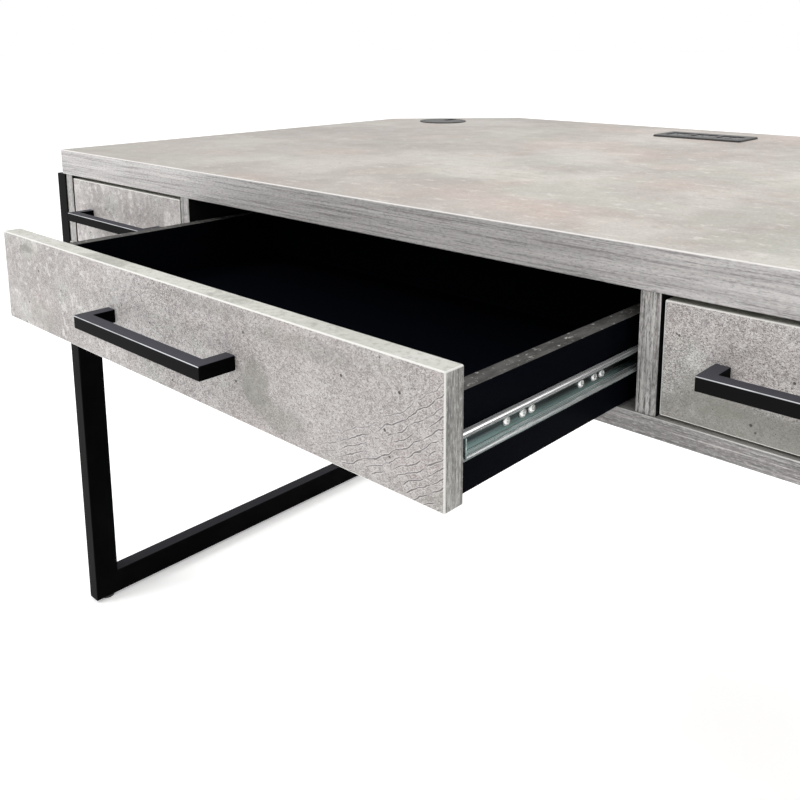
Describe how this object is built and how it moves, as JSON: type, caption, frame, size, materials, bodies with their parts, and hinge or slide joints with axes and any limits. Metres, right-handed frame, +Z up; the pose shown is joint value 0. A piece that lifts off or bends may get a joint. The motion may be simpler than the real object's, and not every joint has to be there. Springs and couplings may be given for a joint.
{
  "type": "corner desk",
  "caption": "Corner desk with cut rear corners, a row of drawers under the front and black sled leg frames; shown with the wide middle drawer open.",
  "frame": {"origin": "on the floor at the middle of the stored extents, with the middle drawer open", "axes": "+X along the width to the user's right, +Y from the user towards the back, +Z up"},
  "size_m": [1.342, 1.184, 0.765],
  "materials": {
    "top_laminate": "matt stone-look laminate on particleboard",
    "balance_laminate": "plain laminate on particleboard",
    "edge_banding": "2 mm grey wood-grain ABS edging",
    "case_board": "grey wood-grain laminate on particleboard",
    "front_laminate": "concrete-look laminate with wood-grain edging",
    "black_melamine": "black melamine on particleboard",
    "black_steel": "satin black powder coat on steel",
    "zinc_steel": "bright zinc-plated steel",
    "fixing_steel": "nickel-plated steel",
    "black_plastic": "moulded black ABS",
    "socket_plastic": "moulded black polycarbonate"
  },
  "bodies": {
    "desk": {"case_back": "case_board", "case_bottom": "case_board", "case_screws": "fixing_steel", "divider_left": "case_board", "divider_right": "case_board", "edge_band_front": "edge_banding", "edge_bands_ends_and_back": "edge_banding", "end_panel_left": "case_board", "end_panel_right": "case_board", "foot_glides": "black_plastic", "frame_bolts": "fixing_steel", "grommet_liners": "black_plastic", "left_case_slides": "zinc_steel", "left_foot_rail": "black_steel", "left_front_post": "black_steel", "left_rear_post": "black_steel", "left_top_rail": "black_steel", "middle_case_slides": "zinc_steel", "power_bezel": "black_plastic", "power_cord_gland": "black_plastic", "power_housing": "black_plastic", "power_outlets": "socket_plastic", "rear_rail": "case_board", "right_case_slides": "zinc_steel", "right_foot_rail": "black_steel", "right_front_post": "black_steel", "right_rear_post": "black_steel", "right_top_rail": "black_steel", "tabletop_lower_board": "balance_laminate", "tabletop_upper_board": "top_laminate", "top_brackets": "fixing_steel"},
    "left_drawer": {"left_drawer_back": "black_melamine", "left_drawer_bottom": "black_melamine", "left_drawer_front": "front_laminate", "left_drawer_left_side": "black_melamine", "left_drawer_pull": "black_steel", "left_drawer_right_side": "black_melamine", "left_drawer_runners": "zinc_steel", "left_drawer_screws": "fixing_steel"},
    "middle_drawer": {"middle_drawer_back": "black_melamine", "middle_drawer_bottom": "black_melamine", "middle_drawer_front": "front_laminate", "middle_drawer_left_side": "black_melamine", "middle_drawer_pull": "black_steel", "middle_drawer_right_side": "black_melamine", "middle_drawer_runners": "zinc_steel", "middle_drawer_screws": "fixing_steel"},
    "right_drawer": {"right_drawer_back": "black_melamine", "right_drawer_bottom": "black_melamine", "right_drawer_front": "front_laminate", "right_drawer_left_side": "black_melamine", "right_drawer_pull": "black_steel", "right_drawer_right_side": "black_melamine", "right_drawer_runners": "zinc_steel", "right_drawer_screws": "fixing_steel"},
    "left_cages": {"left_ball_cages": "zinc_steel"},
    "middle_cages": {"middle_ball_cages": "zinc_steel"},
    "right_cages": {"right_ball_cages": "zinc_steel"},
    "left_cap": {"grommet_cap_left": "black_plastic"},
    "right_cap": {"grommet_cap_right": "black_plastic"}
  },
  "joints": [
    {"name": "left_drawer_slide", "type": "slide", "parent": "desk", "child": "left_drawer", "axis": [0, -1, 0], "range_m": [0, 0.25]},
    {"name": "left_cage_roll", "type": "slide", "parent": "desk", "child": "left_cages", "axis": [0, -1, 0], "range_m": [0, 0.125]},
    {"name": "middle_drawer_slide", "type": "slide", "parent": "desk", "child": "middle_drawer", "axis": [0, -1, 0], "range_m": [-0.238, 0.012]},
    {"name": "middle_cage_roll", "type": "slide", "parent": "desk", "child": "middle_cages", "axis": [0, -1, 0], "range_m": [-0.119, 0.006]},
    {"name": "right_drawer_slide", "type": "slide", "parent": "desk", "child": "right_drawer", "axis": [0, -1, 0], "range_m": [0, 0.25]},
    {"name": "right_cage_roll", "type": "slide", "parent": "desk", "child": "right_cages", "axis": [0, -1, 0], "range_m": [0, 0.125]},
    {"name": "left_cap_turn", "type": "hinge", "parent": "desk", "child": "left_cap", "pos_m": [-0.527, 0.422, 0.762], "axis": [0, 0, 1], "continuous": true},
    {"name": "right_cap_turn", "type": "hinge", "parent": "desk", "child": "right_cap", "pos_m": [0.527, 0.422, 0.762], "axis": [0, 0, 1], "continuous": true}
  ],
  "couplings": [
    {"joint": "left_cage_roll", "follows": "left_drawer_slide", "ratio": 0.5},
    {"joint": "middle_cage_roll", "follows": "middle_drawer_slide", "ratio": 0.5},
    {"joint": "right_cage_roll", "follows": "right_drawer_slide", "ratio": 0.5}
  ]
}
